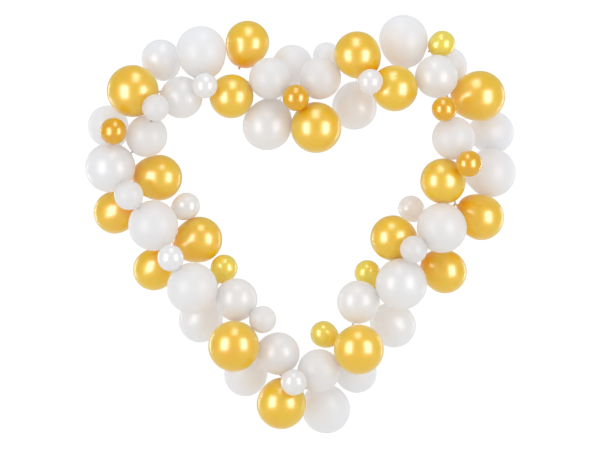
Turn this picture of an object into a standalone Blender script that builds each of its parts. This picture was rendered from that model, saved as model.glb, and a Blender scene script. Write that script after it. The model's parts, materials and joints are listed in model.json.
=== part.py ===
"""Heart-shaped garland of latex balloons tied to a slim tube frame.

The heart lies in the XZ plane and is seen from the front along +Y.
The origin is on the frame, at the dip between the two lobes, where it hangs.
Every length is in metres.
"""
import math

import bmesh
import bpy
import numpy as np

# The frame is one closed tube, bent to a heart. Each stretch between two bends is cut
# in steps, and each of those in finer ones where a place for a neck is looked for.
FRAME_TUBE_RADIUS = 0.004
FRAME_TUBE_SIDES = 5
FRAME_STEPS = 2
FINE_CUTS = 8
# X and Z of its bends, from the dip by the left lobe and the point. They wind a little,
# so that balloons hide the tube from the front.
FRAME_BENDS = (
    (0.000, 0.000), (-0.082, 0.033), (-0.164, 0.067), (-0.272, 0.056),
    (-0.443, 0.026), (-0.532, 0.030), (-0.573, -0.015), (-0.569, -0.089),
    (-0.603, -0.167), (-0.647, -0.216), (-0.647, -0.283), (-0.629, -0.350),
    (-0.577, -0.446), (-0.502, -0.562), (-0.413, -0.662), (-0.312, -0.722),
    (-0.253, -0.781), (-0.227, -0.878), (-0.160, -0.956), (-0.071, -1.027),
    (-0.004, -1.075), (0.078, -1.042), (0.149, -0.982), (0.164, -0.893),
    (0.223, -0.789), (0.286, -0.718), (0.376, -0.655), (0.420, -0.569),
    (0.506, -0.487), (0.573, -0.379), (0.551, -0.268), (0.558, -0.141),
    (0.554, -0.030), (0.517, 0.056), (0.424, 0.067), (0.312, 0.078),
    (0.208, 0.093), (0.134, 0.115), (0.074, 0.060),
)

# A balloon is round, and tapers to a neck that ends in a rolled lip. The reaches are
# shares of its radius: of its cone, at least and at most, and of its longest neck.
NECK_RADIUS = 0.0035
LIP_RADIUS = 0.0055
LIP_LENGTH = 0.004
SHORTEST_TAPER = 1.02
TAPER_REACH = 1.30
LONGEST_NECK = 2.6
STUCK_DEPTH = 0.012
# How much it swells towards its neck, as a share of its radius. Each balloon takes
# the first of these that its neighbours leave room for.
SWELLS = (0.22, 0.18, 0.14, 0.10, 0.07, 0.04, 0.0)
# Rings of the body, in degrees off the neck, and sides of each ring. Edges sharper
# than this many degrees aren't shaded smooth.
RINGS = (150, 118, 88, 58, 30)
SIDES = 10
SHARP_DEGREES = 60

# Fits. Ring corners stand a little outside the true round surface.
TOUCH_GAP = 0.0003
CORNER_SHARE = 1.015
NECK_ROOM = 0.0002
FRAME_STAND_OFF = 0.006
TIE_SPACING = 0.016
# A neck counts as no steeper than this share of upright on the tube that it ends at.
LEAST_UPRIGHT = 0.2
# A finished neck is filled with this many round things, from this share of its length,
# and later ones keep this far off its corners.
SWELL_STATIONS = 16
SWELL_START = 0.25
EDGE_ROOM = 0.001
# Ways that a loose neck may take, and how near to upright a way has its rings turned.
FAN_ROWS = 9
FAN_COLUMNS = 16
STEEP = 0.998

# Settling: rounds of it, and how much of its way from home a balloon keeps in each.
# Home is the frame's plane where the neck shows, or else a share of the radius off it,
# so that the neck points away from the eye.
SETTLE_SWEEPS = 600
DRAW_IN = 0.97
HOME_SHARE = 0.9

# Latex finishes and the frame's plastic: colour, roughness, metallic.
# The small accents are deep or bright gold, or a clearer pearl.
GOLD = "gold_latex"
DEEP_GOLD = "deep_gold_latex"
BRIGHT_GOLD = "bright_gold_latex"
WHITE = "white_latex"
PEARL = "pearl_latex"
CLEAR_PEARL = "clear_pearl_latex"
PLASTIC = "frame_plastic"
FINISHES = {
    GOLD: ((0.86, 0.54, 0.07), 0.32, 0.35),
    DEEP_GOLD: ((0.75, 0.37, 0.02), 0.26, 0.40),
    BRIGHT_GOLD: ((0.86, 0.56, 0.04), 0.26, 0.40),
    WHITE: ((0.80, 0.80, 0.79), 0.35, 0.0),
    PEARL: ((0.76, 0.74, 0.71), 0.22, 0.0),
    CLEAR_PEARL: ((0.72, 0.70, 0.66), 0.18, 0.0),
    PLASTIC: ((0.90, 0.92, 0.92), 0.15, 0.0),
}

# Each balloon: finish, width, X and Z of its middle, and how far back it lies
# before it settles against its neighbours. Less than zero is to the front.
BALLOONS = {
    "gold_balloon_01": (GOLD, 0.190, -0.624, 0.032, -0.09),
    "pearl_balloon_02": (PEARL, 0.141, -0.522, 0.154, 0.09),
    "white_balloon_03": (WHITE, 0.183, -0.371, 0.180, -0.02),
    "pearl_balloon_04": (PEARL, 0.154, -0.443, 0.008, -0.03),
    "pearl_balloon_05": (CLEAR_PEARL, 0.093, -0.355, 0.050, -0.15),
    "white_balloon_06": (WHITE, 0.099, -0.537, -0.032, -0.19),
    "white_balloon_07": (WHITE, 0.150, -0.720, -0.095, 0.09),
    "gold_balloon_08": (DEEP_GOLD, 0.098, -0.695, -0.118, -0.07),
    "white_balloon_09": (WHITE, 0.152, -0.572, -0.135, -0.02),
    "pearl_balloon_10": (PEARL, 0.181, -0.709, -0.252, -0.01),
    "gold_balloon_11": (GOLD, 0.168, -0.527, -0.289, 0.01),
    "white_balloon_12": (WHITE, 0.107, -0.637, -0.355, -0.13),
    "gold_balloon_13": (GOLD, 0.157, -0.694, -0.418, 0.06),
    "white_balloon_14": (WHITE, 0.183, -0.548, -0.466, -0.06),
    "pearl_balloon_15": (CLEAR_PEARL, 0.099, -0.426, -0.395, 0.00),
    "gold_balloon_16": (GOLD, 0.168, -0.378, -0.519, 0.01),
    "pearl_balloon_17": (CLEAR_PEARL, 0.097, -0.482, -0.587, -0.13),
    "gold_balloon_18": (GOLD, 0.153, -0.549, -0.632, 0.06),
    "white_balloon_19": (WHITE, 0.187, -0.402, -0.699, -0.07),
    "gold_balloon_20": (BRIGHT_GOLD, 0.099, -0.286, -0.625, 0.01),
    "pearl_balloon_21": (PEARL, 0.155, -0.240, -0.741, 0.00),
    "pearl_balloon_22": (PEARL, 0.159, -0.375, -0.823, 0.07),
    "white_balloon_23": (WHITE, 0.100, -0.142, -0.815, -0.03),
    "gold_balloon_24": (GOLD, 0.187, -0.249, -0.914, -0.06),
    "pearl_balloon_25": (PEARL, 0.156, -0.084, -0.942, -0.01),
    "white_balloon_26": (WHITE, 0.156, -0.207, -1.025, 0.07),
    "gold_balloon_27": (GOLD, 0.181, -0.073, -1.131, -0.04),
    "pearl_balloon_28": (CLEAR_PEARL, 0.096, -0.027, -1.047, -0.17),
    "white_balloon_29": (WHITE, 0.158, 0.067, -1.005, -0.06),
    "white_balloon_30": (WHITE, 0.177, 0.094, -1.153, 0.06),
    "white_balloon_31": (WHITE, 0.147, 0.208, -1.017, 0.09),
    "gold_balloon_32": (GOLD, 0.183, 0.214, -0.926, -0.07),
    "gold_balloon_33": (BRIGHT_GOLD, 0.097, 0.084, -0.871, 0.00),
    "pearl_balloon_34": (PEARL, 0.156, 0.213, -0.750, -0.03),
    "pearl_balloon_35": (PEARL, 0.161, 0.347, -0.841, 0.07),
    "pearl_balloon_36": (PEARL, 0.188, 0.371, -0.684, -0.08),
    "gold_balloon_37": (BRIGHT_GOLD, 0.094, 0.247, -0.643, 0.04),
    "white_balloon_38": (WHITE, 0.100, 0.416, -0.555, -0.19),
    "gold_balloon_39": (GOLD, 0.166, 0.341, -0.513, -0.02),
    "gold_balloon_40": (GOLD, 0.159, 0.536, -0.639, 0.07),
    "white_balloon_41": (WHITE, 0.183, 0.521, -0.476, -0.07),
    "gold_balloon_42": (GOLD, 0.167, 0.671, -0.437, 0.01),
    "gold_balloon_43": (GOLD, 0.166, 0.526, -0.302, -0.02),
    "gold_balloon_44": (DEEP_GOLD, 0.096, 0.621, -0.238, -0.15),
    "white_balloon_45": (WHITE, 0.180, 0.709, -0.270, 0.02),
    "white_balloon_46": (WHITE, 0.158, 0.565, -0.143, -0.03),
    "white_balloon_47": (WHITE, 0.158, 0.716, -0.119, 0.09),
    "gold_balloon_48": (GOLD, 0.185, 0.666, 0.015, -0.04),
    "gold_balloon_49": (DEEP_GOLD, 0.093, 0.530, -0.036, -0.12),
    "pearl_balloon_50": (PEARL, 0.158, 0.503, 0.086, -0.04),
    "white_balloon_51": (WHITE, 0.145, 0.547, 0.126, 0.09),
    "gold_balloon_52": (BRIGHT_GOLD, 0.094, 0.526, 0.210, 0.01),
    "white_balloon_53": (WHITE, 0.179, 0.381, 0.226, 0.02),
    "gold_balloon_54": (GOLD, 0.169, 0.347, 0.041, -0.05),
    "gold_balloon_55": (GOLD, 0.170, 0.208, 0.166, -0.02),
    "pearl_balloon_56": (CLEAR_PEARL, 0.092, 0.256, 0.064, -0.17),
    "pearl_balloon_57": (PEARL, 0.165, 0.199, -0.026, 0.01),
    "white_balloon_58": (WHITE, 0.100, 0.095, 0.166, 0.06),
    "white_balloon_59": (WHITE, 0.154, 0.071, 0.080, -0.01),
    "white_balloon_60": (WHITE, 0.149, -0.032, 0.132, 0.06),
    "white_balloon_61": (WHITE, 0.153, -0.115, 0.078, -0.02),
    "pearl_balloon_62": (PEARL, 0.179, -0.126, -0.097, -0.01),
    "gold_balloon_63": (DEEP_GOLD, 0.098, -0.019, 0.006, -0.13),
    "gold_balloon_64": (GOLD, 0.186, 0.056, -0.104, -0.02),
    "gold_balloon_65": (GOLD, 0.161, -0.258, 0.012, -0.01),
    "gold_balloon_66": (GOLD, 0.160, -0.199, 0.214, 0.01),
    "pearl_balloon_67": (CLEAR_PEARL, 0.094, 0.410, -0.403, 0.02),
}

# Small balloons that are stuck by the neck to a larger one; the two are one solid.
STUCK_ON = {
    "pearl_balloon_05": "pearl_balloon_04",
    "white_balloon_06": "white_balloon_09",
    "white_balloon_12": "white_balloon_14",
    "pearl_balloon_17": "white_balloon_19",
    "white_balloon_23": "pearl_balloon_21",
    "white_balloon_38": "white_balloon_41",
    "gold_balloon_44": "gold_balloon_43",
    "white_balloon_58": "white_balloon_59",
}

# X and Z of the spots where necks end that show from the front, or that a body's egg
# shape points to.
NECKS_SEEN = {
    "gold_balloon_66": (-0.234, 0.104), "gold_balloon_55": (0.283, 0.115),
    "gold_balloon_54": (0.296, 0.080), "gold_balloon_43": (0.582, -0.372),
    "gold_balloon_42": (0.576, -0.390), "gold_balloon_40": (0.428, -0.577),
    "gold_balloon_48": (0.552, 0.004), "white_balloon_53": (0.400, 0.067),
    "gold_balloon_27": (-0.060, -1.040), "pearl_balloon_10": (-0.625, -0.262),
    "pearl_balloon_02": (-0.455, 0.030), "gold_balloon_33": (0.160, -0.915),
    "gold_balloon_52": (0.475, 0.180), "gold_balloon_37": (0.280, -0.712),
    "gold_balloon_20": (-0.325, -0.712), "gold_balloon_11": (-0.645, -0.283),
    "gold_balloon_16": (-0.502, -0.562),
}

# Balloons whose necks point at their spots but don't reach the frame there.
LOOSE_NECKS = ("gold_balloon_66", "gold_balloon_52")


def remove_everything():
    """Clear the file that the script runs in."""
    for item in list(bpy.data.objects):
        bpy.data.objects.remove(item, do_unlink=True)


def make_material(name):
    """A Principled material with the finish's colour, roughness and metal."""
    colour, roughness, metallic = FINISHES[name]
    material = bpy.data.materials.new(name)
    material.use_nodes = True
    shader = material.node_tree.nodes["Principled BSDF"]
    shader.inputs["Base Color"].default_value = (*colour, 1.0)
    shader.inputs["Roughness"].default_value = roughness
    shader.inputs["Metallic"].default_value = metallic
    return material


def frame_line():
    """Corners of the frame's middle line, closed.

    Each stretch between two bends is a Catmull-Rom cubic cut in equal steps.
    """
    bends = np.array([(x, 0.0, z) for x, z in FRAME_BENDS])
    before = np.roll(bends, 1, axis=0)
    after = np.roll(bends, -1, axis=0)
    beyond = np.roll(bends, -2, axis=0)
    slope = after - before
    square = 2 * before - 5 * bends + 4 * after - beyond
    cubic = 3 * bends - before - 3 * after + beyond
    stretches = []
    for share in np.arange(FRAME_STEPS) / FRAME_STEPS:
        bow = slope * share + square * share**2 + cubic * share**3
        stretches.append(bends + bow / 2)
    return np.stack(stretches, axis=1).reshape(-1, 3)


def fine_line(corners):
    """The same line with each straight piece cut into equal shares."""
    after = np.roll(corners, -1, axis=0)
    shares = (np.arange(FINE_CUTS) / FINE_CUTS)[None, :, None]
    return (corners[:, None] * (1 - shares) + after[:, None] * shares).reshape(-1, 3)


def depth_rules(middles, radii):
    """Pairs that would cross seen from the front: front one, back one, depth.

    Two round bodies touch where the depth between them is the third side of
    a right triangle on the sum of their radii and their distance apart.
    """
    rules = []
    for one in range(len(middles)):
        for other in range(one + 1, len(middles)):
            gap = middles[one] - middles[other]
            touching = radii[one] + radii[other] + TOUCH_GAP
            room = touching**2 - gap[0] ** 2 - gap[2] ** 2
            if room > 0:
                order = (one, other) if gap[1] < 0 else (other, one)
                rules.append((*order, math.sqrt(room)))
    return rules


def frame_rules(middles, radii, line):
    """How far in front of or behind the frame's plane each balloon has to lie."""
    rules = []
    for middle, radius in zip(middles, radii):
        across = np.hypot(line[:, 0] - middle[0], line[:, 2] - middle[2]).min()
        clear = radius + FRAME_STAND_OFF + FRAME_TUBE_RADIUS
        depth = math.sqrt(max(clear**2 - across**2, 0.0))
        rules.append(depth if middle[1] > 0 else -depth)
    return rules


def settle(middles, radii, homes, line):
    """Draw the balloons to their homes' depths and push them apart in depth."""
    between = depth_rules(middles, radii)
    from_frame = frame_rules(middles, radii, line)
    depths = middles[:, 1]
    for sweep in range(SETTLE_SWEEPS):
        if sweep < SETTLE_SWEEPS / 2:
            depths += (homes - depths) * (1 - DRAW_IN)
        for front, back, apart in between:
            short = apart - (depths[back] - depths[front])
            if short > 0:
                depths[front] -= short / 2
                depths[back] += short / 2
        for index, least in enumerate(from_frame):
            if abs(depths[index]) < abs(least):
                depths[index] = least


def neck_end(middle, tie, along):
    """How far from its middle a balloon's neck may reach towards a tie.

    The flat end stops at the frame's side, and further off the more the neck
    slants along the tube.
    """
    way = tie - middle
    reach = np.linalg.norm(way)
    slant = abs(np.dot(way / reach, along))
    upright = math.sqrt(max(1 - slant**2, LEAST_UPRIGHT**2))
    return reach - (FRAME_TUBE_RADIUS + 2 * TOUCH_GAP + LIP_RADIUS * slant) / upright


def taper(radius, end):
    """Reach and length of the cone that touches the round body."""
    reach = min(max(end, radius * SHORTEST_TAPER), radius * TAPER_REACH)
    return reach, math.sqrt(reach**2 - radius**2)


def balloon_profile(radius, end, swell):
    """Radius and station of each ring, from the crown to the flat neck end.

    At an angle off the neck the body is its radius away from its middle. It is
    further where it swells by the cube of the angle's cosine, or where the cone
    that touches it passes outside.
    """
    reach, side = taper(radius, end)
    touch = math.acos(radius / reach)
    profile = []
    for degrees in RINGS:
        angle = math.radians(degrees)
        cone = radius / math.cos(max(touch - angle, 0.0))
        egg = radius * (1 + swell * max(math.cos(angle), 0.0) ** 3)
        far = max(cone, egg)
        profile.append((far * math.sin(angle), far * math.cos(angle)))
    neck_start = min(reach - NECK_RADIUS * side / radius, end - LIP_LENGTH)
    if neck_start > profile[-1][1] + LIP_LENGTH / 2:
        profile.append((NECK_RADIUS, neck_start))
    profile.append((LIP_RADIUS, end))
    return np.array(profile)


def outline_gap(points, outline):
    """How far points off and along an axis are outside an outline turned round it."""
    starts = outline[:-1]
    spans = outline[1:] - starts
    away = points[:, None] - starts
    shares = np.clip((away * spans).sum(axis=2) / (spans**2).sum(axis=1), 0, 1)
    apart = np.linalg.norm(away - shares[..., None] * spans, axis=2).min(axis=1)
    width = np.interp(points[:, 1], outline[:, 1], outline[:, 0], left=0.0, right=0.0)
    return np.where(points[:, 0] < width, -apart, apart)


def neck_gap(middle, way, profile, others, other_radii):
    """Least space between a balloon, from its waist to its flat end, and round things."""
    away = others - middle
    stations = away @ way
    across = np.linalg.norm(away - stations[:, None] * way, axis=1)
    outline = np.vstack([profile[profile[:, 1] > 0], [(0.0, profile[-1][1])]])
    return (outline_gap(np.column_stack([across, stations]), outline) - other_radii).min()


class Crowd:
    """Round things that a new neck has to miss: middles and radii."""

    def __init__(self, middles, radii):
        self.middles = middles
        self.radii = radii

    def without(self, index):
        """The crowd less one balloon."""
        keep = np.arange(len(self.middles)) != index
        return self.middles[keep], self.radii[keep]

    def add(self, points, widths):
        """Put a finished neck in, as a row of round things."""
        self.middles = np.vstack([self.middles, points])
        self.radii = np.append(self.radii, widths)


def add_swell(crowd, middle, way, profile, corners):
    """Put a balloon's swell and neck in the crowd: round things that fill them, and corners."""
    end = profile[-1][1]
    stations = np.linspace(end * SWELL_START, end, SWELL_STATIONS)
    axis = np.column_stack([np.zeros(SWELL_STATIONS), stations])
    crowd.add(middle + stations[:, None] * way, np.maximum(-outline_gap(axis, profile), LIP_RADIUS))
    ahead = corners[(corners - middle) @ way > stations[0]]
    crowd.add(ahead, np.full(len(ahead), EDGE_ROOM))


def room_round(index, crowd, way, profile, tube):
    """Least space that a balloon's outline leaves to the crowd and to the tube."""
    middle = crowd.middles[index]
    widths = np.full(len(tube), FRAME_TUBE_RADIUS)
    return min(
        neck_gap(middle, way, profile, *crowd.without(index)),
        neck_gap(middle, way, profile, tube, widths),
    )


def beyond_tie(line, tie):
    """The frame's middle line less the stretch that a neck is tied to."""
    return line[np.linalg.norm(line - tie, axis=1) > TIE_SPACING]


def best_tie(index, crowd, line, along, taken, spot):
    """Way, end and place of the neck that ties a balloon to the frame, if one fits.

    The best one ends nearest to its spot, where it has one, or else is
    closest to the natural length of a neck.
    """
    middle, radius = crowd.middles[index], crowd.radii[index]
    best = None
    for point, direction in zip(line, along):
        way = point - middle
        reach = np.linalg.norm(way)
        end = neck_end(middle, point, direction)
        if end < radius + LIP_LENGTH or reach > LONGEST_NECK * radius:
            continue
        if any(np.linalg.norm(point - tie) < TIE_SPACING for tie in taken):
            continue
        strain = abs(end / radius - TAPER_REACH)
        if spot is not None:
            strain = math.hypot(point[0] - spot[0], point[2] - spot[1])
        if best is not None and strain > best[0]:
            continue
        lean = balloon_profile(radius, end, SWELLS[-1])
        if room_round(index, crowd, way / reach, lean, beyond_tie(line, point)) > NECK_ROOM:
            best = (strain, way / reach, end, point)
    return best


def fan_of_ways():
    """Unit ways all round, in rows from the front pole to the back pole."""
    ways = []
    for tilt in np.linspace(0, math.pi, FAN_ROWS):
        for turn in np.arange(FAN_COLUMNS) * math.tau / FAN_COLUMNS:
            across = math.sin(tilt)
            ways.append((across * math.cos(turn), -math.cos(tilt), across * math.sin(turn)))
    return np.array(ways)


def loose_neck(index, crowd, line, spot):
    """Way and end of a free neck, turned as near as it can be to its aim.

    The aim is its spot, level with the balloon's middle, or else the frame.
    Where every way is taken, it goes where there is most room.
    """
    middle, radius = crowd.middles[index], crowd.radii[index]
    if spot is None:
        aim = line[np.linalg.norm(line - middle, axis=1).argmin()] - middle
    else:
        aim = np.array([spot[0], middle[1], spot[1]]) - middle
    aim = aim / np.linalg.norm(aim)
    end = radius * TAPER_REACH
    lean = balloon_profile(radius, end, SWELLS[-1])
    choices = []
    for way in np.vstack([aim, fan_of_ways()]):
        gap = room_round(index, crowd, way, lean, line)
        choices.append((min(gap, NECK_ROOM), np.dot(way, aim), tuple(way)))
    return np.array(max(choices)[2]), end


def fullest_profile(index, crowd, way, end, tube):
    """Rings of the fullest body that keeps clear, or else of the leanest."""
    for swell in SWELLS:
        profile = balloon_profile(crowd.radii[index], end, swell)
        if room_round(index, crowd, way, profile, tube) > NECK_ROOM:
            break
    return profile


def balloon_shell(middle, way, radius, profile):
    """Corners and faces of one balloon, closed at its crown and its neck."""
    first = np.cross(way, (1.0, 0.0, 0.0) if abs(way[2]) > STEEP else (0.0, 0.0, 1.0))
    first = first / np.linalg.norm(first)
    second = np.cross(way, first)
    turns = np.arange(SIDES) * math.tau / SIDES
    spokes = np.cos(turns)[:, None] * first + np.sin(turns)[:, None] * second
    rings = [middle + station * way + width * spokes for width, station in profile]
    corners = np.vstack([[middle - radius * way], *rings])
    faces = []
    for turn in range(SIDES):
        after = (turn + 1) % SIDES
        faces.append((0, 1 + after, 1 + turn))
        for row in range(len(profile) - 1):
            near, far = 1 + row * SIDES, 1 + (row + 1) * SIDES
            faces.append((near + turn, near + after, far + after, far + turn))
    last = 1 + (len(profile) - 1) * SIDES
    faces.append(tuple(last + turn for turn in range(SIDES)))
    return corners, faces


def make_object(name, corners, faces, material):
    """One object with its faces turned outwards."""
    mesh = bpy.data.meshes.new(name)
    mesh.from_pydata([tuple(corner) for corner in corners], [], faces)
    work = bmesh.new()
    work.from_mesh(mesh)
    bmesh.ops.recalc_face_normals(work, faces=work.faces)
    work.to_mesh(mesh)
    work.free()
    mesh.materials.append(material)
    item = bpy.data.objects.new(name, mesh)
    bpy.context.scene.collection.objects.link(item)
    return item


def smooth_round(item):
    """Smooth shading, with the sharp edge of a lip kept."""
    item.data.shade_smooth()
    item.data.set_sharp_from_angle(angle=math.radians(SHARP_DEGREES))


def fuse(base, other):
    """Fuse another solid into the base with a Boolean union, and drop it."""
    union = base.modifiers.new("fuse", "BOOLEAN")
    union.operation = "UNION"
    union.object = other
    view = bpy.context.evaluated_depsgraph_get()
    fused = bpy.data.meshes.new_from_object(base.evaluated_get(view))
    base.modifiers.clear()
    base.data = fused
    bpy.data.objects.remove(other, do_unlink=True)


def make_frame(material):
    """The heart: a many-sided tube swept once round its closed middle line."""
    line = frame_line()
    after = np.roll(line, -1, axis=0)
    before = np.roll(line, 1, axis=0)
    tangents = after - before
    tangents /= np.linalg.norm(tangents, axis=1)[:, None]
    outward = np.cross(tangents, (0.0, 1.0, 0.0))
    turns = np.arange(FRAME_TUBE_SIDES) * math.tau / FRAME_TUBE_SIDES
    round_part = np.cos(turns)[None, :, None] * outward[:, None]
    deep_part = np.sin(turns)[None, :, None] * np.array([0.0, 1.0, 0.0])
    corners = line[:, None] + FRAME_TUBE_RADIUS * (round_part + deep_part)
    faces = []
    for row in range(len(line)):
        near = row * FRAME_TUBE_SIDES
        far = (row + 1) % len(line) * FRAME_TUBE_SIDES
        for turn in range(FRAME_TUBE_SIDES):
            next_turn = (turn + 1) % FRAME_TUBE_SIDES
            faces.append((near + turn, near + next_turn, far + next_turn, far + turn))
    frame = make_object("heart_frame", corners.reshape(-1, 3), faces, material)
    smooth_round(frame)


def make_tied(index, name, crowd, line, along, taken, material):
    """One balloon, tied to the frame where its neck can reach it."""
    middle, radius = crowd.middles[index], crowd.radii[index]
    spot = NECKS_SEEN.get(name)
    tie = None
    if name not in LOOSE_NECKS:
        tie = best_tie(index, crowd, line, along, taken, spot)
    if tie is None:
        way, end = loose_neck(index, crowd, line, spot)
        profile = fullest_profile(index, crowd, way, end, line)
    else:
        way, end, point = tie[1:]
        taken.append(point)
        profile = fullest_profile(index, crowd, way, end, beyond_tie(line, point))
    corners, faces = balloon_shell(middle, way, radius, profile)
    balloon = make_object(name, corners, faces, material)
    smooth_round(balloon)
    add_swell(crowd, middle, way, profile, corners)
    return balloon


def make_stuck(index, name, partner, base, crowd, material):
    """One small balloon whose neck runs into the larger one it is stuck on."""
    middle, radius = crowd.middles[index], crowd.radii[index]
    way = crowd.middles[partner] - middle
    apart = np.linalg.norm(way)
    end = apart - crowd.radii[partner] + STUCK_DEPTH
    lean = balloon_profile(radius, end, SWELLS[-1])
    small = make_object(name, *balloon_shell(middle, way / apart, radius, lean), material)
    fuse(base, small)
    base.name = base.name + "_with_" + name.split("_")[-1]
    smooth_round(base)


def main():
    """Settle the balloons, then make the frame and the balloons on it."""
    remove_everything()
    materials = {name: make_material(name) for name in FINISHES}
    line = fine_line(frame_line())
    along = np.roll(line, -1, axis=0) - line
    along /= np.linalg.norm(along, axis=1)[:, None]
    names = list(BALLOONS)
    middles = np.array([(row[2], row[4], row[3]) for row in BALLOONS.values()])
    radii = np.array([row[1] / 2 for row in BALLOONS.values()]) * CORNER_SHARE
    off_plane = np.array([0.0 if name in NECKS_SEEN else HOME_SHARE for name in names])
    settle(middles, radii, np.sign(middles[:, 1]) * off_plane * radii, line)
    crowd = Crowd(middles, radii)
    make_frame(materials[PLASTIC])
    taken = []
    made = {}
    for name in sorted(names, key=lambda name: name not in NECKS_SEEN):
        if name not in STUCK_ON:
            material = materials[BALLOONS[name][0]]
            made[name] = make_tied(names.index(name), name, crowd, line, along, taken, material)
    for name, partner in STUCK_ON.items():
        material = materials[BALLOONS[name][0]]
        make_stuck(names.index(name), name, names.index(partner), made[partner], crowd, material)


main()
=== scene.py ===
"""Looks of the heart-shaped balloon garland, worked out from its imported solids.

Every balloon is a smooth latex skin with a knotted neck, set where its solid is.
The frame is a smooth tube through the middles of the solid tube's corners.
Every length is in metres.
"""

import json
import math

import bpy
import numpy as np
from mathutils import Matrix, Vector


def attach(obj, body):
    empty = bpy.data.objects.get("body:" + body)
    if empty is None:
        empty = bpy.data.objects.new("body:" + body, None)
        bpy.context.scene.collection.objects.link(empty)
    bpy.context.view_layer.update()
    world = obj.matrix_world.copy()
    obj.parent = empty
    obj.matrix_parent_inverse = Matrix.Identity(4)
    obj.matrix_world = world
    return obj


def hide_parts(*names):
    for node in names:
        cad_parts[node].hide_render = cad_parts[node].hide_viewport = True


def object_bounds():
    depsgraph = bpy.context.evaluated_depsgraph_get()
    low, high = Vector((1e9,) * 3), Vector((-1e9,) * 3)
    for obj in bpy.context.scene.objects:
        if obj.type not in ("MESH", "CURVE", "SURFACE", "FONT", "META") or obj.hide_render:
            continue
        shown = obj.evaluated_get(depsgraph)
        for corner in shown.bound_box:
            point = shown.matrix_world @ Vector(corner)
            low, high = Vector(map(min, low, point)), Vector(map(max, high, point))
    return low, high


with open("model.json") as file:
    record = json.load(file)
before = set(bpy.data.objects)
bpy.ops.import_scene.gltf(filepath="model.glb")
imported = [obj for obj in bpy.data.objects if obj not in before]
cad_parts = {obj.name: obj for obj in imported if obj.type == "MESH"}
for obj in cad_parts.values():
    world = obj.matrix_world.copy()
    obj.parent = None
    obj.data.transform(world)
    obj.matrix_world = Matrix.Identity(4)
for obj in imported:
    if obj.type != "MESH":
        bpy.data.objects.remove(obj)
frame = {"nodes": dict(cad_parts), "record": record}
cad_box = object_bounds()

# The photograph: its size, and the pixel and scale that tie it to the frame's plane.
PHOTO_WIDTH = 600
PHOTO_HEIGHT = 450
ORIGIN_PIXEL = (301, 100)
PIXEL = 0.00372
LENS_MM = 400
SENSOR_MM = 36

# Finding a round body in a solid: how many picks of four corners are tried, from which
# seed, how flat a pick may be, and which radii count. A corner counts for a ball that it
# is this near to, and is left out of the next ball's search when it is within TAKEN_BY.
PICKS = 6000
PICK_SEED = 7
FLATTEST_PICK = 1e-7
SMALLEST_RADIUS = 0.03
LARGEST_RADIUS = 0.12
LIES_ON = 0.0001
TAKEN_BY = 0.0002
# The ball through a solid's corners is larger than the round body by this much.
CORNER_SHARE = 1.004

# Finding its neck: the lip's ring is the corners this near to the furthest one, in lip
# radii, and this little short of it. A swell is read off the ring at this angle off the
# neck, give or take a few degrees.
RING_REACH = 2.1
RING_DEPTH = 0.0025
SWELL_DEGREES = 30
SWELL_WINDOW = 2

# The neck, its knot, its waist and its rolled lip, and how deep a stuck one goes in.
NECK_RADIUS = 0.0032
KNOT_RADIUS = 0.0050
KNOT_LENGTH = 0.009
WAIST_RADIUS = 0.0026
WAIST_FLARE = 1.15
LIP_RADIUS = 0.0054
LIP_LENGTH = 0.004
STUCK_DEPTH = 0.012
# The most of the tail's length that its knot and its lip take.
KNOT_MOST = 0.55
LIP_MOST = 0.35
# Stations as shares of the knot's length from its start, and of the lip's length from
# its end, each with a width as a share of the knot's or the lip's radius.
KNOT_STATIONS = ((0.25, 0.92), (0.55, 1.0), (0.85, 0.8))
LIP_STATIONS = ((0.6, 0.8), (0.25, 1.0), (0.0, 0.82), (0.1, 0.45))

# The taper from the body to the neck, as shares of the radius: how near and how far the
# cone that shapes it reaches, and how far short of the neck it leaves the body. A body
# with the full swell is left at FULL_START degrees off the neck. The last angle where
# a body may be left and the two steps are in radians.
LEAST_REACH = 1.02
TAPER_REACH = 1.30
SHORT_OF_NECK = 0.05
FULL_SWELL = 0.15
FULL_START = 18
LAST_START = 1.4
START_STEP = 0.02
HEADING_STEP = 0.01
# How far its curve keeps to the body's line, and to the neck's for a lean body and more
# for a full one, as shares of its span.
LEAD = 0.45
ARRIVE_LEAN = 0.07
ARRIVE_FULL = 0.25

# Where the latex gets thicker: from this station towards the neck, over this length and
# by this power, in radii, and round the crown, within this angle and by this much.
THICK_FROM = 0.65
THICK_OVER = 0.65
THICK_POWER = 1.5
CROWN_ANGLE = 0.25
CROWN_THICK = 0.2

# Grids: rows of the round body, of the taper and of the tail, and columns round.
BODY_ROWS = 56
TAPER_ROWS = 12
TAIL_ROWS = 18
COLUMNS = 84
# A balloon whose way is nearer to upright than this has its columns start from X.
STEEP = 0.9

# The tube of the frame. Its solid's corners within RING_SPREAD radii are one ring.
TUBE_RADIUS = 0.004
TUBE_ROWS = 8
TUBE_COLUMNS = 16
RING_SPREAD = 2.2
# Where the middle of the heart is, for going round it.
HEART_MIDDLE = (0.0, -0.45)

# The turn of latex that ties a neck to the tube: its thickness, how far it sinks on to
# the tube as a share of that, and how near to the tube's line the lip has to be.
TIE_RADIUS = 0.0013
TIE_SINK = 0.8
TIE_REACH = 0.012
TIE_ROWS = 24
TIE_COLUMNS = 8
# The line is read off this many corners at least, this near to the lip, the nearest of
# them nearer.
LINE_CORNERS = 12
LINE_REACH = 0.07
LINE_NEAREST = 0.06

# Each balloon's own tone, drawn from this seed, and the patterns in the latex: drifts
# 36 mm long, and flakes 1.2 mm across with their height. The flakes also lighten and
# darken the colour in specks: the mica's own speckle, with its sparkle painted in.
TONE_SEED = 11
TONES = (0.97, 1.03)
DRIFT_SCALE = 28.0
FLAKE_SCALE = 820.0
FLAKE_STRENGTH = 0.08
FLAKE_HEIGHT = 0.0004
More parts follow.
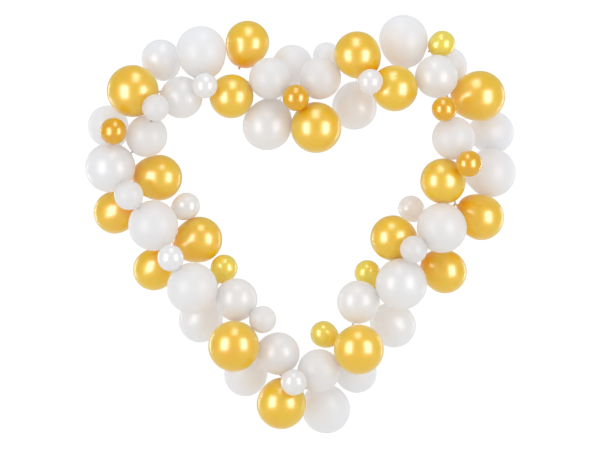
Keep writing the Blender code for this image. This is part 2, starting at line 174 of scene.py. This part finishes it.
# The patterns in the tube: streaks 17 mm long, and grain 1.1 mm across.
STREAK_SCALE = 60.0
GRAIN_SCALE = 900.0
GRAIN_STRENGTH = 0.05
GRAIN_HEIGHT = 0.0002

# The small balloons that share a node with the larger one they are stuck on.
STUCK_FINISH = {
    "05": "clear_pearl_latex", "06": "white_latex", "12": "white_latex",
    "17": "clear_pearl_latex", "23": "white_latex", "38": "white_latex",
    "44": "deep_gold_latex", "58": "white_latex",
}

# How far red, green and blue light goes in each latex, as shares of its scale: red goes
# furthest in the golds, and all three go equally far in the whites.
GOLD_RADIUS = (1.0, 0.40, 0.12)
DEEP_RADIUS = (1.0, 0.5, 0.15)
BRIGHT_RADIUS = (1.0, 0.7, 0.2)
WHITE_RADIUS = (1.0, 1.0, 1.0)

# The studio: what its lamps point at, and each one's place, width, height and watts.
LAMPS_AIM = (0.0, 0.0, -0.4)
LAMPS = {
    "softbox_left": ((-2.3, -2.4, -0.3), (1.7, 2.9), 150),
    "softbox_right": ((2.3, -2.4, -0.3), (1.7, 2.9), 150),
    "softbox_top": ((0.0, -1.3, 2.3), (1.1, 2.1), 38),
    "strip_left": ((-2.9, 2.2, -0.4), (0.25, 2.6), 18),
    "strip_right": ((2.9, 2.2, -0.4), (0.25, 2.6), 18),
}
# How bright the white room is as soft light, mirrored in gloss, and as the backdrop.
ROOM_COLOUR = "#F8FAFF"
MIRRORED_COLOUR = "#FAFBFC"
BACKDROP_COLOUR = "#FFFFFF"
ROOM_LIGHT = 0.92
MIRRORED_LIGHT = 0.45
BACKDROP_LIGHT = 1.05

# The floor: how far below the garland it lies, its radius and its sides.
FLOOR_BELOW = 0.45
FLOOR_RADIUS = 5.5
FLOOR_SIDES = 96


def linear(code):
    """An sRGB hex colour as linear red, green, blue and one, by the sRGB curve."""
    parts = [int(code[place:place + 2], 16) / 255 for place in (1, 3, 5)]
    curve = [
        part / 12.92 if part <= 0.04045 else ((part + 0.055) / 1.055) ** 2.4
        for part in parts
    ]
    return (*curve, 1.0)


def add_node(tree, kind, settings, links=()):
    """Add a node, set its sockets and options, and link outputs to its inputs."""
    node = tree.nodes.new(kind)
    for name, value in settings.items():
        if isinstance(name, int) or name in node.inputs:
            node.inputs[name].default_value = value
        else:
            setattr(node, name, value)
    for name, output in links:
        tree.links.new(output, node.inputs[name])
    return node


def bare_material(name):
    """A new material with an empty node tree and its output node."""
    material = bpy.data.materials.new(name)
    material.use_nodes = True
    material.node_tree.nodes.clear()
    output = material.node_tree.nodes.new("ShaderNodeOutputMaterial")
    return material, material.node_tree, output


def latex(name, thin, thick, cloud, flake_sparkle, settings):
    """Blown latex: thin over the body, thicker and deeper at the crown and the neck.

    Cloudy drifts stand for uneven dipping, and flakes for the mica in it: lighter and
    darker specks in the colour, partly the mica's own speckle and partly its sparkle
    painted in. Real flakes are far finer than 1.2 mm; they are drawn as large as they
    need to be to show.
    """
    material, tree, output = bare_material(name)
    place = add_node(tree, "ShaderNodeTexCoord", {}).outputs["Object"]
    drift = add_node(tree, "ShaderNodeTexNoise", {"Scale": DRIFT_SCALE, "Detail": 2.0},
                     [("Vector", place)])
    grain = add_node(tree, "ShaderNodeTexNoise", {"Scale": FLAKE_SCALE, "Detail": 1.0},
                     [("Vector", place)])
    skin = add_node(tree, "ShaderNodeAttribute", {"attribute_name": "thickness"})
    tone = add_node(tree, "ShaderNodeAttribute", {"attribute_name": "tone"})
    drifted = add_node(tree, "ShaderNodeMath",
                       {"operation": "MULTIPLY_ADD", 1: cloud, 2: -cloud / 2},
                       [(0, drift.outputs["Fac"])])
    depth = add_node(tree, "ShaderNodeMath", {"operation": "ADD", "use_clamp": True},
                     [(0, skin.outputs["Fac"]), (1, drifted.outputs[0])])
    colour = add_node(tree, "ShaderNodeMix",
                      {"data_type": "RGBA", 6: linear(thin), 7: linear(thick)},
                      [(0, depth.outputs[0])])
    # Painted sparkle: the mica flakes lighten and darken the colour in specks.
    sparkle_speck = add_node(tree, "ShaderNodeMath",
                     {"operation": "MULTIPLY_ADD", 1: flake_sparkle, 2: 1 - flake_sparkle / 2},
                     [(0, grain.outputs["Fac"])])
    shade = add_node(tree, "ShaderNodeMath", {"operation": "MULTIPLY"},
                     [(0, sparkle_speck.outputs[0]), (1, tone.outputs["Fac"])])
    final = add_node(tree, "ShaderNodeHueSaturation", {},
                     [("Color", colour.outputs[2]), ("Value", shade.outputs[0])])
    bump = add_node(tree, "ShaderNodeBump",
                    {"Strength": FLAKE_STRENGTH, "Distance": FLAKE_HEIGHT},
                    [("Height", grain.outputs["Fac"])])
    shader = add_node(tree, "ShaderNodeBsdfPrincipled", settings,
                      [("Base Color", final.outputs["Color"]),
                       ("Normal", bump.outputs["Normal"])])
    tree.links.new(shader.outputs["BSDF"], output.inputs["Surface"])
    return material


def gold_latex():
    """Gold latex with mica: broad creamy lights on a skin that red light goes far into."""
    return latex("gold_latex", "#FFC814", "#FFA002", 0.40, 0.08, {
        "Metallic": 0.08, "Roughness": 0.44, "Specular IOR Level": 0.2,
        "Coat Weight": 1.0, "Coat Roughness": 0.28, "Coat IOR": 1.72,
        "Subsurface Weight": 0.9, "Subsurface Radius": GOLD_RADIUS,
        "Subsurface Scale": 0.20,
    })


def deep_gold_latex():
    """The same rubber blown less, so its gold is thicker, redder and glossier."""
    return latex("deep_gold_latex", "#EAB208", "#DA8E04", 0.30, 0.10, {
        "Metallic": 0.08, "Roughness": 0.36, "Specular IOR Level": 0.2,
        "Coat Weight": 1.0, "Coat Roughness": 0.16, "Coat IOR": 1.50,
        "Subsurface Weight": 0.8, "Subsurface Radius": DEEP_RADIUS,
        "Subsurface Scale": 0.09,
    })


def bright_gold_latex():
    """A yellow gold accent blown tight, so its skin is thin, clear and glossy."""
    return latex("bright_gold_latex", "#FFDA5C", "#FDBC24", 0.30, 0.10, {
        "Metallic": 0.08, "Roughness": 0.38, "Specular IOR Level": 0.2,
        "Coat Weight": 1.0, "Coat Roughness": 0.18, "Coat IOR": 1.50,
        "Subsurface Weight": 0.9, "Subsurface Radius": BRIGHT_RADIUS,
        "Subsurface Scale": 0.11,
    })


def white_latex():
    """Milky white latex: light soaks far into it, under a soft satin skin."""
    return latex("white_latex", "#F6F6F8", "#F5F4F5", 0.50, 0.02, {
        "Roughness": 0.50, "Specular IOR Level": 0.2,
        "Coat Weight": 0.14, "Coat Roughness": 0.30,
        "Subsurface Weight": 1.0, "Subsurface Radius": WHITE_RADIUS,
        "Subsurface Scale": 0.36,
    })


def pearl_latex():
    """Pearl white latex: a little mica greys it and gives it clearer lights."""
    return latex("pearl_latex", "#F5F4F3", "#F3F1EF", 0.50, 0.04, {
        "Roughness": 0.40, "Specular IOR Level": 0.25,
        "Coat Weight": 0.38, "Coat Roughness": 0.30, "Coat IOR": 1.5,
        "Subsurface Weight": 1.0, "Subsurface Radius": WHITE_RADIUS,
        "Subsurface Scale": 0.32,
    })


def clear_pearl_latex():
    """Thin clear pearl latex of the small accents: warmer and greyer, with crisp lights."""
    return latex("clear_pearl_latex", "#F5F2EE", "#EFEAE4", 0.50, 0.05, {
        "Roughness": 0.32, "Specular IOR Level": 0.3,
        "Coat Weight": 0.65, "Coat Roughness": 0.17, "Coat IOR": 1.5,
        "Subsurface Weight": 1.0, "Subsurface Radius": WHITE_RADIUS,
        "Subsurface Scale": 0.15,
    })


def frame_plastic():
    """Extruded clear PVC tube: most light goes through it, and the rest is a pale haze.

    It is hollow, so it bends light far less than a solid rod would, and its IOR is low.
    """
    material, tree, output = bare_material("frame_plastic")
    place = add_node(tree, "ShaderNodeTexCoord", {}).outputs["Object"]
    streak = add_node(tree, "ShaderNodeTexNoise", {"Scale": STREAK_SCALE, "Detail": 3.0},
                      [("Vector", place)])
    colour = add_node(tree, "ShaderNodeMix",
                      {"data_type": "RGBA", 6: linear("#F4F7F7"), 7: linear("#FFFFFF")},
                      [(0, streak.outputs["Fac"])])
    grain = add_node(tree, "ShaderNodeTexNoise", {"Scale": GRAIN_SCALE},
                     [("Vector", place)])
    bump = add_node(tree, "ShaderNodeBump",
                    {"Strength": GRAIN_STRENGTH, "Distance": GRAIN_HEIGHT},
                    [("Height", grain.outputs["Fac"])])
    shader = add_node(tree, "ShaderNodeBsdfPrincipled",
                      {"Roughness": 0.05, "IOR": 1.02, "Transmission Weight": 0.6},
                      [("Base Color", colour.outputs[2]),
                       ("Normal", bump.outputs["Normal"])])
    tree.links.new(shader.outputs["BSDF"], output.inputs["Surface"])
    return material


def node_corners(node):
    """The different corners of a node's mesh, as an array."""
    mesh = frame["nodes"][node].data
    corners = np.empty(len(mesh.vertices) * 3, dtype=np.float32)
    mesh.vertices.foreach_get("co", corners)
    return np.unique(corners.reshape(-1, 3).astype(float).round(6), axis=0)


def find_ball(corners, picks):
    """The ball that most corners lie on, tried on many picks of four corners.

    Four corners give a ball by four linear equations in its middle and in its
    radius squared less the middle squared.
    """
    four = corners[picks]
    lines = np.concatenate([2 * four, np.ones((len(picks), 4, 1))], axis=2)
    sound = np.abs(np.linalg.det(lines)) > FLATTEST_PICK
    squares = (four[sound] ** 2).sum(axis=2)[..., None]
    found = np.linalg.solve(lines[sound], squares)[..., 0]
    middles = found[:, :3]
    radii = np.sqrt(np.maximum(found[:, 3] + (middles**2).sum(axis=1), 0.0))
    away = np.linalg.norm(corners[None] - middles[:, None], axis=2)
    off = np.abs(away - radii[:, None])
    fits = (radii > SMALLEST_RADIUS) & (radii < LARGEST_RADIUS)
    best = np.argmax(np.where(fits, (off < LIES_ON).sum(axis=1), 0))
    return middles[best], radii[best], off[best] < TAKEN_BY


def find_balls(node, corners):
    """Middle and radius of each round body in a node, the larger first."""
    draw = np.random.default_rng(PICK_SEED)
    balls = []
    for _ in range(2 if "_with_" in node else 1):
        picks = draw.integers(0, len(corners), (PICKS, 4))
        middle, radius, on_ball = find_ball(corners, picks)
        balls.append((middle, radius))
        corners = corners[~on_ball]
    return sorted(balls, key=lambda ball: -ball[1])


def neck_of(corners, middle, others):
    """Way and end of a balloon's neck: what lies furthest off is taken for its lip ring.

    That is so for all but balloon 10, whose neck is short: its swelled body reaches
    further than its lip, so its neck turns out 30 degrees off the solid's.
    """
    for other, size in others:
        off_other = np.linalg.norm(corners - other, axis=1)
        corners = corners[off_other > size * TAPER_REACH]
    away = np.linalg.norm(corners - middle, axis=1)
    tip = corners[away.argmax()]
    ring = corners[np.linalg.norm(corners - tip, axis=1) < RING_REACH * LIP_RADIUS]
    along = (ring - middle) @ ((tip - middle) / away.max())
    ring = ring[along > along.max() - RING_DEPTH]
    end = ring.mean(axis=0) - middle
    return end / np.linalg.norm(end), np.linalg.norm(end)


def swell_of(corners, middle, way, radius):
    """How much a solid's body swells towards its neck, read off its last ring.

    The ring's distance from the middle, in radii, less one, over the cube of the
    cosine of its angle off the neck.
    """
    away = corners - middle
    far = np.linalg.norm(away, axis=1)
    angles = np.degrees(np.arccos(np.clip(away @ way / far, -1, 1)))
    ring = far[np.abs(angles - SWELL_DEGREES) < SWELL_WINDOW]
    if len(ring) == 0:
        return 0.0
    more = max(ring.mean() / radius - 1, 0.0)
    return more / math.cos(math.radians(SWELL_DEGREES)) ** 3


def body_point(radius, swell, angle):
    """Width and station of the round body at an angle off the neck.

    The body is the radius times one plus the swell times the cube of the angle's
    cosine away from its middle, on the neck's half.
    """
    far = radius * (1 + swell * np.maximum(np.cos(angle), 0.0) ** 3)
    return np.stack([far * np.sin(angle), far * np.cos(angle)], axis=-1)


def taper_profile(radius, end, swell):
    """The angle where the taper leaves the body, and its widths and stations.

    A cubic Bezier curve that leaves the body along its own line, and comes in
    along the neck's. A lean body is left where a cone touches it, a full one later.
    """
    reach = min(max(end, radius * LEAST_REACH), radius * TAPER_REACH)
    touch = math.acos(radius / reach)
    side = math.sqrt(reach**2 - radius**2)
    apex = reach - NECK_RADIUS * side / radius
    neck = np.array([NECK_RADIUS, min(apex, end - LIP_LENGTH)])
    full = min(swell / FULL_SWELL, 1.0)
    angle = touch + (math.radians(FULL_START) - touch) * full
    last = neck[1] - SHORT_OF_NECK * radius
    while body_point(radius, swell, angle)[1] > last and angle < LAST_START:
        angle += START_STEP
    start = body_point(radius, swell, angle)
    heading = start - body_point(radius, swell, angle + HEADING_STEP)
    heading /= np.linalg.norm(heading)
    span = np.linalg.norm(neck - start)
    lead = start + heading * span * LEAD
    arrive = neck - np.array([0.0, span * (ARRIVE_LEAN + ARRIVE_FULL * full)])
    share = np.linspace(0, 1, TAPER_ROWS + 1)[1:, None]
    curve = (
        (1 - share) ** 3 * start
        + 3 * (1 - share) ** 2 * share * lead
        + 3 * (1 - share) * share**2 * arrive
        + share**3 * neck
    )
    return angle, curve


def tail_profile(start, end):
    """Widths and stations of the tail: a knot, a waist and the rolled lip, closed.

    Straight lines between the stations, cut in equal steps.
    """
    length = end - start
    knot = min(KNOT_LENGTH, length * KNOT_MOST)
    lip = min(LIP_LENGTH, length * LIP_MOST)
    marks = np.array([
        0.0, *(knot * station for station, _ in KNOT_STATIONS), knot,
        length - lip, *(length - lip * station for station, _ in LIP_STATIONS),
    ])
    widths = np.array([
        NECK_RADIUS, *(KNOT_RADIUS * width for _, width in KNOT_STATIONS), WAIST_RADIUS,
        WAIST_RADIUS * WAIST_FLARE, *(LIP_RADIUS * width for _, width in LIP_STATIONS),
    ])
    order = np.linspace(0, len(marks) - 1, TAIL_ROWS + 1)[1:]
    steps = np.arange(len(marks))
    stations = start + np.interp(order, steps, marks)
    return np.stack([np.interp(order, steps, widths), stations], axis=1)


def balloon_profile(radius, end, swell):
    """Widths, stations and latex thickness from the crown to the tail's end.

    The body goes from the crown to where the taper starts. The latex is
    thickest on the neck and the crown, where it stretches least.
    """
    angle, taper = taper_profile(radius, end, swell)
    body = body_point(radius, swell, np.linspace(math.pi, angle, BODY_ROWS + 1))
    tail = tail_profile(taper[-1, 1], end)
    profile = np.vstack([body, taper, tail])
    past = np.clip((profile[:, 1] / radius - THICK_FROM) / THICK_OVER, 0, 1)
    off_crown = np.arctan2(profile[:, 0], -profile[:, 1])
    crown = np.exp(-((off_crown / CROWN_ANGLE) ** 2))
    return profile, np.clip(past**THICK_POWER + CROWN_THICK * crown, 0, 1)


def turned_grid(profile, middle, way):
    """Carry a profile round a line: corners and faces, with a point at each end."""
    first = np.cross(way, (0.0, 0.0, 1.0) if abs(way[2]) < STEEP else (1.0, 0.0, 0.0))
    first /= np.linalg.norm(first)
    second = np.cross(way, first)
    turns = np.arange(COLUMNS) * math.tau / COLUMNS
    spokes = np.cos(turns)[:, None] * first + np.sin(turns)[:, None] * second
    rows = profile[1:]
    rings = middle + rows[:, 1, None, None] * way + rows[:, 0, None, None] * spokes[None]
    crown = middle + profile[0, 1] * way
    last = middle + profile[-1, 1] * way
    corners = np.vstack([crown, rings.reshape(-1, 3), last])
    here = np.arange(COLUMNS)
    after = (here + 1) % COLUMNS
    base = 1 + np.arange(len(rows) - 1)[:, None] * COLUMNS
    above = base + COLUMNS
    quads = np.stack([base + here, base + after, above + after, above + here], axis=2)
    caps = [(0, 1 + b, 1 + a) for a, b in zip(here, after)]
    end_ring = 1 + (len(rows) - 1) * COLUMNS
    end_point = len(corners) - 1
    caps += [(end_point, end_ring + a, end_ring + b) for a, b in zip(here, after)]
    return corners, [tuple(quad) for quad in quads.reshape(-1, 4).tolist()] + caps


def ring_grid(line, radius, sections, columns):
    """Carry a circle along a closed line: corners and faces."""
    tangents = np.roll(line, -1, axis=0) - np.roll(line, 1, axis=0)
    tangents /= np.linalg.norm(tangents, axis=1)[:, None]
    across = np.cross(tangents, sections)
    across /= np.linalg.norm(across, axis=1)[:, None]
    up = np.cross(across, tangents)
    turns = np.arange(columns) * math.tau / columns
    ring = (
        np.cos(turns)[None, :, None] * across[:, None]
        + np.sin(turns)[None, :, None] * up[:, None]
    )
    corners = (line[:, None] + radius * ring).reshape(-1, 3)
    rows = np.arange(len(line))[:, None]
    here = np.arange(columns)[None]
    after = (here + 1) % columns
    next_row = (rows + 1) % len(line)
    quads = np.stack([rows * columns + here, rows * columns + after,
                      next_row * columns + after, next_row * columns + here], axis=2)
    return corners, [tuple(quad) for quad in quads.reshape(-1, 4)[:, ::-1].tolist()]


def make_piece(name, corners, faces, material, node):
    """One smooth piece that rides on the root and stands for a node."""
    mesh = bpy.data.meshes.new(name)
    mesh.from_pydata(corners.tolist(), [], faces)
    mesh.materials.append(material)
    mesh.shade_smooth()
    piece = bpy.data.objects.new(name, mesh)
    bpy.context.scene.collection.objects.link(piece)
    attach(piece, "root")
    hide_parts(node)
    return piece


def set_attribute(mesh, name, values):
    """Give each corner of a mesh a number that its material reads."""
    attribute = mesh.attributes.new(name, "FLOAT", "POINT")
    attribute.data.foreach_set("value", np.asarray(values, dtype=np.float32))


def tie_turn(tip, tube):
    """A turn of latex round the frame where a neck is tied to it, or nothing.

    The tube's line near the tip is the longest direction of its corners there.
    """
    near = tube[np.linalg.norm(tube - tip, axis=1) < LINE_REACH]
    if len(near) < LINE_CORNERS:
        return None
    if np.linalg.norm(near - tip, axis=1).min() > LINE_NEAREST:
        return None
    middle = near.mean(axis=0)
    along = np.linalg.svd(near - middle)[2][0]
    foot = middle + along * np.dot(tip - middle, along)
    if np.linalg.norm(tip - foot) > TIE_REACH:
        return None
    turns = np.arange(TIE_ROWS) * math.tau / TIE_ROWS
    first = np.cross(along, (0.0, 1.0, 0.0))
    first /= np.linalg.norm(first)
    second = np.cross(along, first)
    spokes = np.cos(turns)[:, None] * first + np.sin(turns)[:, None] * second
    line = foot + (TUBE_RADIUS + TIE_RADIUS * TIE_SINK) * spokes
    return ring_grid(line, TIE_RADIUS, along, TIE_COLUMNS)


def balloons_of(node):
    """Each balloon of a node: its number, middle, way, radius, neck's end and swell.

    One that is stuck on a larger one points at it, and its neck ends inside it.
    """
    corners = node_corners(node)
    balls = find_balls(node, corners)
    numbers = [word for word in node.split("_") if word.isdigit()]
    middle, radius = balls[0]
    way, end = neck_of(corners, middle, balls[1:])
    found = [(numbers[0], middle, way, radius, end, swell_of(corners, middle, way, radius))]
    for small, small_radius in balls[1:]:
        way = middle - small
        apart = np.linalg.norm(way)
        end = apart - radius + STUCK_DEPTH
        found.append((numbers[1], small, way / apart, small_radius, end, 0.0))
    return found


def balloon_mesh(middle, way, radius, end, swell, tube):
    """Corners, faces and latex thickness of one balloon with its tie, if it has one."""
    profile, thickness = balloon_profile(radius / CORNER_SHARE, end, swell)
    corners, faces = turned_grid(profile, middle, way)
    rings = np.repeat(thickness[1:], COLUMNS)
    per_corner = np.concatenate([thickness[:1], rings, thickness[-1:]])
    turn = tie_turn(middle + way * end, tube)
    if turn is not None:
        faces = faces + [tuple(corner + len(corners) for corner in face) for face in turn[1]]
        corners = np.vstack([corners, turn[0]])
        per_corner = np.concatenate([per_corner, np.ones(len(turn[0]))])
    return corners, faces, per_corner


def make_balloons(materials):
    """Every balloon, where its solid's round body and neck are."""
    slots = {part["node"]: part["material_slot"] for part in frame["record"]["subparts"]}
    tube = node_corners("heart_frame")
    draw = np.random.default_rng(TONE_SEED)
    for node in sorted(frame["nodes"]):
        if node == "heart_frame":
            continue
        for place, (number, *shape) in enumerate(balloons_of(node)):
            slot = slots[node] if place == 0 else STUCK_FINISH[number]
            corners, faces, thickness = balloon_mesh(*shape, tube)
            piece = make_piece("latex_balloon_" + number, corners, faces,
                               materials[slot], node)
            set_attribute(piece.data, "thickness", thickness)
            set_attribute(piece.data, "tone", np.full(len(corners), draw.uniform(*TONES)))


def frame_line():
    """The smooth closed line through the middles of the tube's rings of corners.

    Corners within a tube's width of each other are one ring. Between rings the
    line is a Catmull-Rom cubic.
    """
    corners = node_corners("heart_frame")
    apart = np.linalg.norm(corners[:, None] - corners[None], axis=2)
    rings = [corners[row < RING_SPREAD * TUBE_RADIUS].mean(axis=0) for row in apart]
    rings = np.unique(np.array(rings).round(5), axis=0)
    turn = np.arctan2(rings[:, 2] - HEART_MIDDLE[1], rings[:, 0] - HEART_MIDDLE[0])
    bends = rings[np.argsort(turn)]
    before, after, beyond = (np.roll(bends, shift, axis=0) for shift in (1, -1, -2))
    stretches = []
    for share in np.arange(TUBE_ROWS) / TUBE_ROWS:
        bow = (after - before) * share
        bow += (2 * before - 5 * bends + 4 * after - beyond) * share**2
        bow += (3 * bends - before - 3 * after + beyond) * share**3
        stretches.append(bends + bow / 2)
    return np.stack(stretches, axis=1).reshape(-1, 3)


def make_frame_tube(material):
    """The heart frame as a smooth closed tube."""
    corners, faces = ring_grid(frame_line(), TUBE_RADIUS, (0.0, 1.0, 0.0), TUBE_COLUMNS)
    make_piece("heart_frame_tube", corners, faces, material, "heart_frame")


def floor_paint():
    """Matt white paint on the studio floor: pale, even and without any shine."""
    material, tree, output = bare_material("floor_white")
    shader = add_node(tree, "ShaderNodeBsdfPrincipled", {
        "Base Color": linear("#F4F4F2"), "Roughness": 0.8, "Specular IOR Level": 0.0})
    tree.links.new(shader.outputs["BSDF"], output.inputs["Surface"])
    return material


def make_floor():
    """A plain pale floor, a disc below the garland."""
    turns = np.arange(FLOOR_SIDES) * math.tau / FLOOR_SIDES
    height = cad_box[0][2] - FLOOR_BELOW
    corners = [(math.cos(turn) * FLOOR_RADIUS, math.sin(turn) * FLOOR_RADIUS, height)
               for turn in turns]
    mesh = bpy.data.meshes.new("floor")
    mesh.from_pydata(corners, [], [tuple(range(FLOOR_SIDES))])
    mesh.materials.append(floor_paint())
    floor = bpy.data.objects.new("floor", mesh)
    bpy.context.scene.collection.objects.link(floor)


def add_softbox(name, place, size, watts):
    """One rectangular softbox, turned to the garland, that only the gloss shows.

    The white room lights the rest, as evenly as in the photograph.
    """
    way = np.array(LAMPS_AIM) - np.array(place)
    way /= np.linalg.norm(way)
    light = bpy.data.lights.new(name, "AREA")
    light.shape = "RECTANGLE"
    light.size, light.size_y = size
    light.energy = watts
    lamp = bpy.data.objects.new(name, light)
    bpy.context.scene.collection.objects.link(lamp)
    lamp.location = place
    turn = math.atan2(way[0], -way[1]) + math.pi
    lamp.rotation_euler = (math.acos(-way[2]), 0.0, turn)
    lamp.visible_camera = False
    lamp.visible_diffuse = False


def light_studio():
    """Tall softboxes at 45 degrees, one overhead, strips behind for the rims, a white room.

    The room is dimmer where gloss mirrors it, so that it lays no veil on the colours.
    """
    for name, (place, size, watts) in LAMPS.items():
        add_softbox(name, place, size, watts)
    world = bpy.data.worlds.new("white_room")
    bpy.context.scene.world = world
    world.use_nodes = True
    tree = world.node_tree
    tree.nodes.clear()
    output = tree.nodes.new("ShaderNodeOutputWorld")
    path = tree.nodes.new("ShaderNodeLightPath")
    room, mirrored, backdrop = (
        add_node(tree, "ShaderNodeBackground", {"Color": linear(colour), "Strength": light})
        for colour, light in ((ROOM_COLOUR, ROOM_LIGHT), (MIRRORED_COLOUR, MIRRORED_LIGHT),
                              (BACKDROP_COLOUR, BACKDROP_LIGHT))
    )
    lit = add_node(tree, "ShaderNodeMixShader", {}, [
        (0, path.outputs["Is Glossy Ray"]), (1, room.outputs[0]), (2, mirrored.outputs[0])])
    shown = add_node(tree, "ShaderNodeMixShader", {}, [
        (0, path.outputs["Is Camera Ray"]), (1, lit.outputs[0]), (2, backdrop.outputs[0])])
    tree.links.new(shown.outputs[0], output.inputs["Surface"])


def place_camera():
    """The camera looks level along +Y at the photograph's middle, from far off."""
    camera = bpy.data.cameras.new("camera")
    camera.lens = LENS_MM
    camera.sensor_width = SENSOR_MM
    item = bpy.data.objects.new("camera", camera)
    bpy.context.scene.collection.objects.link(item)
    across = (PHOTO_WIDTH / 2 - ORIGIN_PIXEL[0]) * PIXEL
    up = (ORIGIN_PIXEL[1] - PHOTO_HEIGHT / 2) * PIXEL
    item.location = (across, -LENS_MM / SENSOR_MM * PHOTO_WIDTH * PIXEL, up)
    item.rotation_euler = (math.pi / 2, 0.0, 0.0)
    bpy.context.scene.camera = item


def main():
    """Make the materials, the balloons, the frame, the light and the camera."""
    finishes = (gold_latex, deep_gold_latex, bright_gold_latex,
                white_latex, pearl_latex, clear_pearl_latex)
    materials = {finish.__name__: finish() for finish in finishes}
    make_balloons(materials)
    make_frame_tube(frame_plastic())
    make_floor()
    light_studio()
    place_camera()
    bpy.context.scene.view_settings.view_transform = "Standard"


main()
